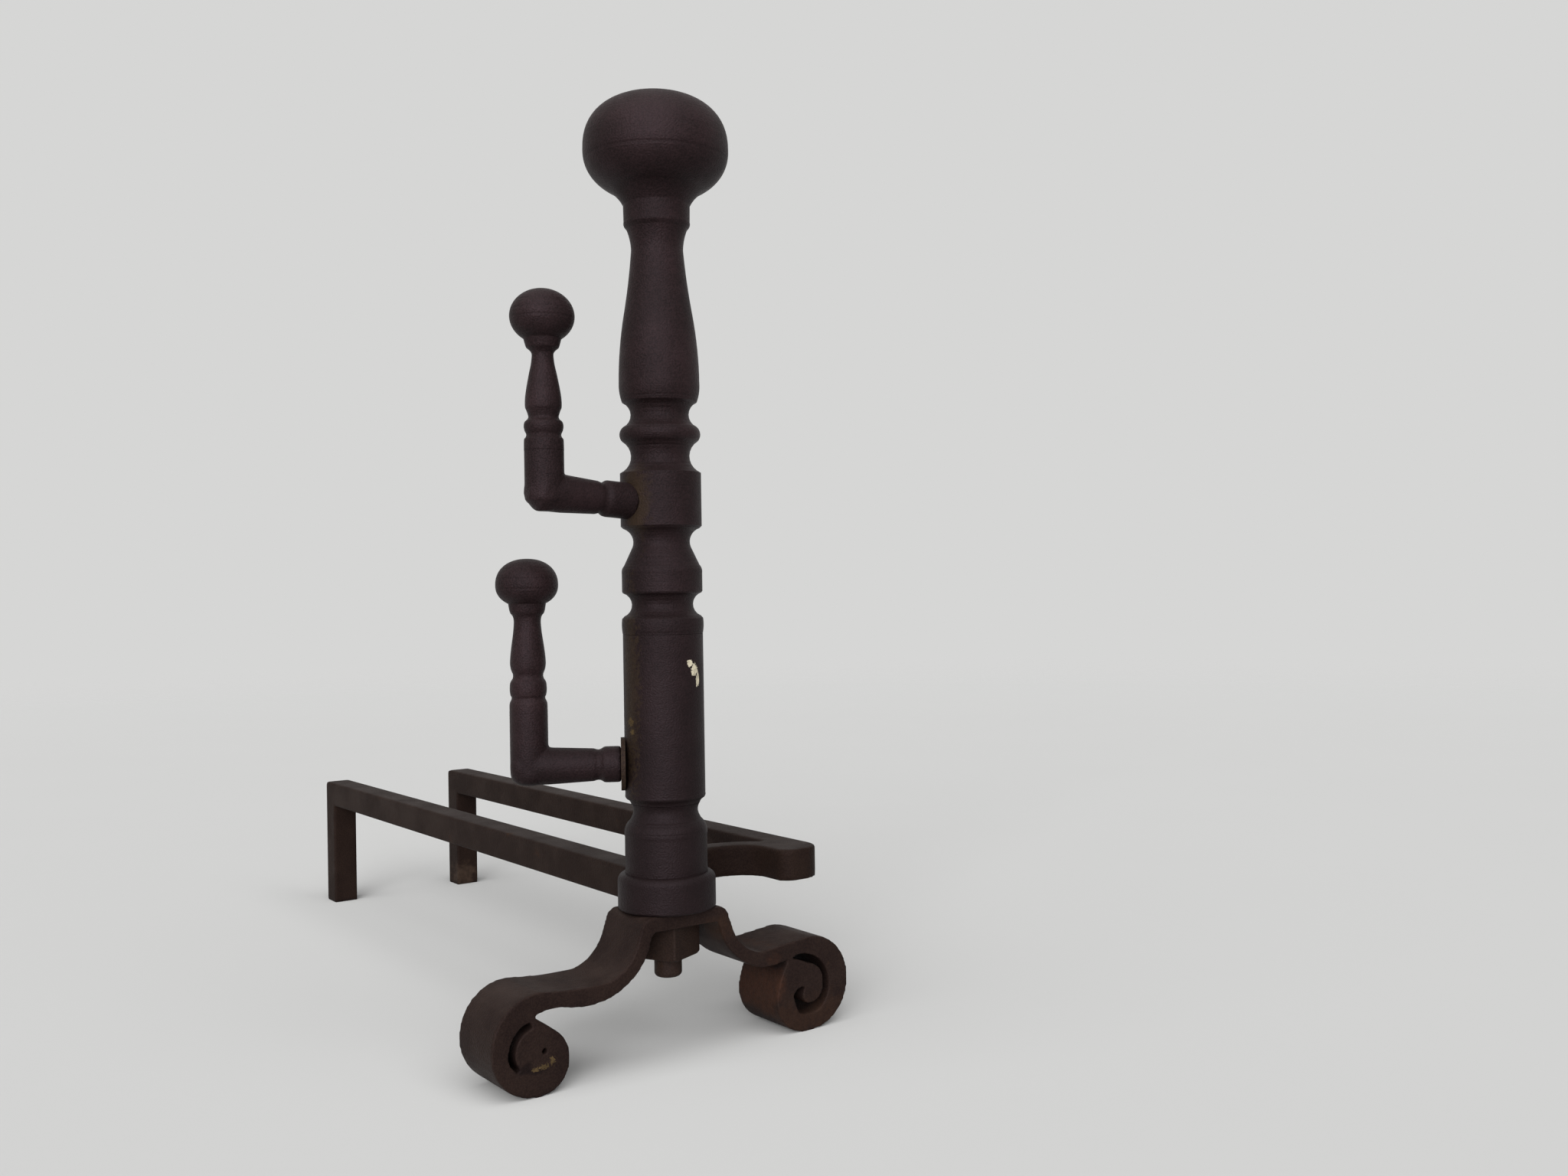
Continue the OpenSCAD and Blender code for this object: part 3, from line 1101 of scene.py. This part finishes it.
def add_object(name: str, data: bpy.types.ID) -> bpy.types.Object:
    """Adds an object to the scene.

    Args:
        name: Name of the object.
        data: Its mesh, lamp or camera.

    Returns:
        The new object.
    """
    made = bpy.data.objects.new(name, data)
    bpy.context.scene.collection.objects.link(made)
    return made


def keep_mesh(name: str, shape: bmesh.types.BMesh) -> bpy.types.Mesh:
    """Keeps a working mesh as a finished one.

    Args:
        name: Name of the finished mesh.
        shape: The working mesh, which is freed.

    Returns:
        The finished mesh.
    """
    data = bpy.data.meshes.new(name)
    shape.to_mesh(data)
    shape.free()
    return data


def lathe(axis: Vector, rows: Outline, sides: int) -> bmesh.types.BMesh:
    """Turns an outline about an upright axis, with a flat foot and a pointed top.

    Args:
        axis: A point on the axis.
        rows: Heights and radii from the foot to the top, in metres.
        sides: Number of sides.

    Returns:
        The closed working mesh.
    """
    shape = bmesh.new()
    belts = []
    for height, radius in rows[:-1]:
        belt = []
        for side in range(sides):
            turn = 2 * math.pi * side / sides
            across = Vector((math.cos(turn) * radius, math.sin(turn) * radius, 0.0))
            belt.append(shape.verts.new(Vector((axis.x, axis.y, height)) + across))
        belts.append(belt)
    top = shape.verts.new((axis.x, axis.y, rows[-1][0]))
    for below, above in zip(belts, belts[1:]):
        for side in range(sides):
            beside = (side + 1) % sides
            shape.faces.new((below[side], below[beside], above[beside], above[side]))
    for side in range(sides):
        shape.faces.new((belts[-1][side], belts[-1][(side + 1) % sides], top))
    shape.faces.new(tuple(reversed(belts[0])))
    return shape


# Sub-assemblies


@dataclass
class SubAssembly:
    """A group of the andiron's pieces.

    Args:
        frame: The model's solids, as the frame gives them.
    """

    frame: dict

    def dress(self, name: str, iron: IronMaterial) -> None:
        """Gives a solid of the model its finish.

        Args:
            name: The solid's name.
            iron: The finish.
        """
        piece = self.frame["nodes"][name]
        piece.data.materials.clear()
        piece.data.materials.append(iron.material)
        LOG.info("%s is dressed in %s", name, iron.finish.name)

    def stand_in(
        self,
        piece: bpy.types.Object,
        names: tuple[str, ...],
        iron: IronMaterial,
        body: Body,
        slot: Slot,
    ) -> None:
        """Lets a new piece stand for solids of the model.

        Args:
            piece: The new piece, in place.
            names: Names of the solids it stands for.
            iron: The finish.
            body: The body it rides on.
            slot: The record's material slot; not used.
        """
        piece.data.materials.clear()
        piece.data.materials.append(iron.material)
        piece.data.shade_smooth()
        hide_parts(*names)
        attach(piece, body.value)
        LOG.info("%s stands for %s", piece.name, ", ".join(names))

    def soften(
        self,
        names: tuple[str, ...],
        title: str,
        iron: IronMaterial,
        body: Body,
        slot: Slot,
        edges: Rounding,
    ) -> None:
        """Replaces solids by one copy, joined where they touch, with its edges rounded off.

        Args:
            names: Names of the solids.
            title: Name of the copy.
            iron: The finish.
            body: The body it rides on.
            slot: The record's material slot.
            edges: How the edges are rounded.
        """
        joined = bmesh.new()
        for name in names:
            joined.from_mesh(self.frame["nodes"][name].data)
        piece = add_object(title, keep_mesh(title, joined))
        rebuilt = piece.modifiers.new("rebuilt", "REMESH")
        rebuilt.mode = "VOXEL"
        rebuilt.voxel_size = edges.grid
        smooth = piece.modifiers.new("smoothed", "SMOOTH")
        smooth.factor = edges.pull
        smooth.iterations = edges.passes
        depsgraph = bpy.context.evaluated_depsgraph_get()
        mesh = bpy.data.meshes.new_from_object(piece.evaluated_get(depsgraph))
        piece.modifiers.clear()
        piece.data = mesh
        self.stand_in(piece, names, iron, body, slot)


@dataclass
class TurnedColumn(SubAssembly):
    """The base block, shaft, turned upper column and ball.

    Args:
        pieces: Names of the column's solids.
    """

    pieces: tuple[str, ...] = ("base_block", "eye_ring", "shaft", "upper_column", "finial_ball")

    def build(self, iron: IronMaterial) -> None:
        """Dresses the column's pieces.

        Args:
            iron: The column's finish.
        """
        for name in self.pieces:
            self.dress(name, iron)


@dataclass
class TurningHook(SubAssembly):
    """One cast hook that turns with its section of the column.

    Args:
        bar: Name of the hook's bar.
        finial: Name of the finial on its end.
        body: The body that the hook rides on.
        turning: Outline of the finial.
        edges: How the bar's edges are rounded.
        pin: Length of the hidden pin below the finial's joint.
        sides: Number of sides of the turned finial.
    """

    bar: str
    finial: str
    body: Body
    turning: Turning
    edges: Rounding = CAST_EDGES
    pin: float = 0.016
    sides: int = 128

    def build(self, hook: IronMaterial, finial: IronMaterial) -> None:
        """Rounds the bar's edges and turns the finial.

        Args:
            hook: The bar's finish.
            finial: The finial's finish.
        """
        self.soften((self.bar,), f"{self.bar}_cast", hook, self.body, Slot.HOOK, self.edges)
        self._turn(finial)

    def _turn(self, iron: IronMaterial) -> None:
        """Turns the finial on the axis and joint of the model's own.

        Args:
            iron: The finial's finish.
        """
        low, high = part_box(self.finial)
        joint = low.z + self.pin
        rows = [
            (joint + height * MILLIMETRE, radius * MILLIMETRE)
            for height, radius in self.turning.outline()
        ]
        title = f"{self.finial}_turned"
        shape = lathe((low + high) / 2, rows, self.sides)
        piece = add_object(title, keep_mesh(title, shape))
        self.stand_in(piece, (self.finial,), iron, self.body, Slot.HOOK)


@dataclass
class ForkedLogBars(SubAssembly):
    """The two log bars and the arm that joins them.

    Args:
        pieces: Names of the solids of the fork.
        edges: How the bars' edges are rounded.
    """

    pieces: tuple[str, ...] = ("outer_log_bar", "inner_log_bar", "yoke_arm")
    edges: Rounding = FORGED_EDGES

    def build(self, iron: IronMaterial) -> None:
        """Welds the bars into one fork with rounded edges.

        Args:
            iron: The bars' finish.
        """
        self.soften(self.pieces, "forged_fork", iron, Body.FRAME, Slot.BAR, self.edges)


@dataclass
class ScrolledFoot(SubAssembly):
    """The scrolled strap, its nut and the end of the tie rod.

    Args:
        strap_edges: How the strap's edges are rounded.
        nut_edges: How the nut's edges are rounded.
    """

    strap_edges: Rounding = STRAP_EDGES
    nut_edges: Rounding = NUT_EDGES

    def build(self, iron: IronMaterial, rod: IronMaterial) -> None:
        """Rounds the strap and the nut, and dresses the foot.

        Args:
            iron: The strap's finish.
            rod: The nut's and the rod's finish.
        """
        self.soften(
            ("foot_strap",), "forged_strap", iron, Body.FRAME, Slot.FOOT, self.strap_edges
        )
        self.soften(("square_nut",), "worn_nut", rod, Body.FRAME, Slot.ROD, self.nut_edges)
        self.dress("tie_rod", rod)


# Studio


@dataclass(frozen=True)
class PhotoCamera:
    """The camera that took the picture.

    Args:
        place: Place of the lens.
        ahead: Direction it looks in.
        roll: How far it leans to its right.
        lens: Focal length, in millimetres.
        sensor: Width of the sensor, in millimetres.
        clip: Nearest and farthest distances that it sees.
    """

    place: Point = (-0.49785, -1.0781, 0.3004)
    ahead: Point = (0.5993, 0.8005, 0.0)
    roll: float = math.radians(0.889)
    lens: float = 32.94
    sensor: float = 36.0
    clip: Span = (0.05, 60.0)

    def build(self) -> None:
        """Places the camera and makes it the scene's own."""
        rise = Vector(UP)
        ahead = Vector(self.ahead).normalized()
        level = ahead.cross(rise).normalized()
        up = rise * math.cos(self.roll) + level * math.sin(self.roll)
        right = level * math.cos(self.roll) - rise * math.sin(self.roll)
        data = bpy.data.cameras.new("photo_camera")
        data.sensor_fit = "HORIZONTAL"
        data.sensor_width = self.sensor
        data.lens = self.lens
        data.clip_start, data.clip_end = self.clip
        camera = add_object("photo_camera", data)
        turn = Matrix((right, up, -ahead)).transposed()
        camera.matrix_world = Matrix.Translation(self.place) @ turn.to_4x4()
        bpy.context.scene.camera = camera


@dataclass(frozen=True)
class SoftLamp:
    """A wide soft lamp that stands far off.

    Args:
        name: Name of the lamp.
        side: Direction that its light comes from.
        strength: Strength of its light.
        spread: Angle that it fills, seen from the andiron.
    """

    name: str
    side: Point
    strength: float
    spread: float

    def build(self) -> None:
        """Adds the lamp to the scene."""
        data = bpy.data.lights.new(self.name, "SUN")
        data.energy = self.strength
        data.angle = self.spread
        aim = -Vector(self.side)
        lamp = add_object(self.name, data)
        lamp.matrix_world = aim.to_track_quat("-Z", "Y").to_matrix().to_4x4()


KEY_LIGHT = SoftLamp("key_light", (-0.56, -0.72, 1.05), 3.2, math.radians(95))
FRONT_LIGHT = SoftLamp("front_light", (-0.68, -0.72, 0.26), 2.3, math.radians(36))


@dataclass(frozen=True)
class Studio:
    """The pale floor, the world and the lamps.

    Args:
        backdrop: Colour that the camera sees behind the andiron.
        floor: Colour of the floor in its paler places.
        mottle: Patches of the floor.
        mottle_shade: Light of the floor in its darker places.
        floor_radius: Radius of the floor.
        floor_sides: Number of sides of the floor.
        fade: Distances where the floor starts to fade and where it is gone.
        world_strength: Strength of the even light from all round.
        lamps: The lamps.
    """

    backdrop: Colour = linear(214, 214, 213)
    floor: Colour = linear(208, 208, 207)
    mottle: Patches = Patches(Grain(3.0, 3.0, 0.5), 0.3, 0.7)
    mottle_shade: float = 0.995
    floor_radius: float = 6.0
    floor_sides: int = 96
    fade: Span = (1.2, 5.0)
    world_strength: float = 0.08
    lamps: tuple[SoftLamp, ...] = (KEY_LIGHT, FRONT_LIGHT)

    def build(self) -> None:
        """Makes the floor, the world's light and the lamps."""
        bpy.context.scene.view_settings.view_transform = "Standard"
        self._world()
        self._floor()
        for lamp in self.lamps:
            lamp.build()

    def _world(self) -> None:
        """Lights the scene evenly and shows the backdrop to the camera and in mirrors."""
        world = bpy.data.worlds.new("studio")
        world.use_nodes = True
        nodes = Nodes(world.node_tree)
        rays = nodes.node("ShaderNodeLightPath").outputs
        seen = nodes.math("MAXIMUM", rays["Is Camera Ray"], rays["Is Glossy Ray"])
        seen = nodes.math("MAXIMUM", seen, rays["Is Transmission Ray"])
        light = nodes.node("ShaderNodeBackground", Color=WHITE, Strength=self.world_strength)
        shown = nodes.node("ShaderNodeBackground", Color=self.backdrop, Strength=1.0)
        both = nodes.node(
            "ShaderNodeMixShader", i0=seen, i1=light.outputs[0], i2=shown.outputs[0]
        )
        nodes.node("ShaderNodeOutputWorld", Surface=both.outputs[0])
        bpy.context.scene.world = world

    def _floor(self) -> None:
        """Makes a wide floor that fades into the backdrop."""
        shape = bmesh.new()
        bmesh.ops.create_circle(
            shape, cap_ends=True, segments=self.floor_sides, radius=self.floor_radius
        )
        floor = add_object("floor", keep_mesh("floor", shape))
        shader = Shader("pale_floor")
        place = shader.place()
        away = shader.vector("LENGTH", place).outputs["Value"]
        darker = shade(self.floor, self.mottle_shade)
        colour = shader.mix(shader.patches(place, self.mottle), darker, self.floor)
        lit = shader.node("ShaderNodeBsdfDiffuse", Color=colour).outputs[0]
        clear = shader.node("ShaderNodeBsdfTransparent").outputs[0]
        gone = shader.ramp(away, *self.fade)
        both = shader.node("ShaderNodeMixShader", i0=gone, i1=lit, i2=clear).outputs[0]
        shader.node("ShaderNodeOutputMaterial", Surface=both)
        floor.data.materials.append(shader.material)


def main() -> None:
    """Builds the andiron's classes in order."""
    logging.basicConfig(level=logging.INFO, format="%(name)s: %(message)s")
    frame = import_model()
    PhotoCamera().build()
    Studio().build()
    hook = IronMaterial(HOOK_IRON)
    finial = IronMaterial(FINIAL_IRON)
    TurnedColumn(frame).build(IronMaterial(COLUMN_IRON))
    lower = TurningHook(
        frame, "lower_hook_bar", "lower_hook_finial", Body.LOWER, LOWER_TURNING
    )
    lower.build(hook, finial)
    lower.dress("lower_hook_washer", IronMaterial(WASHER_IRON))
    upper = TurningHook(
        frame, "upper_hook_bar", "upper_hook_finial", Body.UPPER, UPPER_TURNING
    )
    upper.build(hook, finial)
    ForkedLogBars(frame).build(IronMaterial(BAR_IRON))
    ScrolledFoot(frame).build(IronMaterial(FOOT_IRON), IronMaterial(ROD_IRON))


if __name__ == "__main__":
    main()
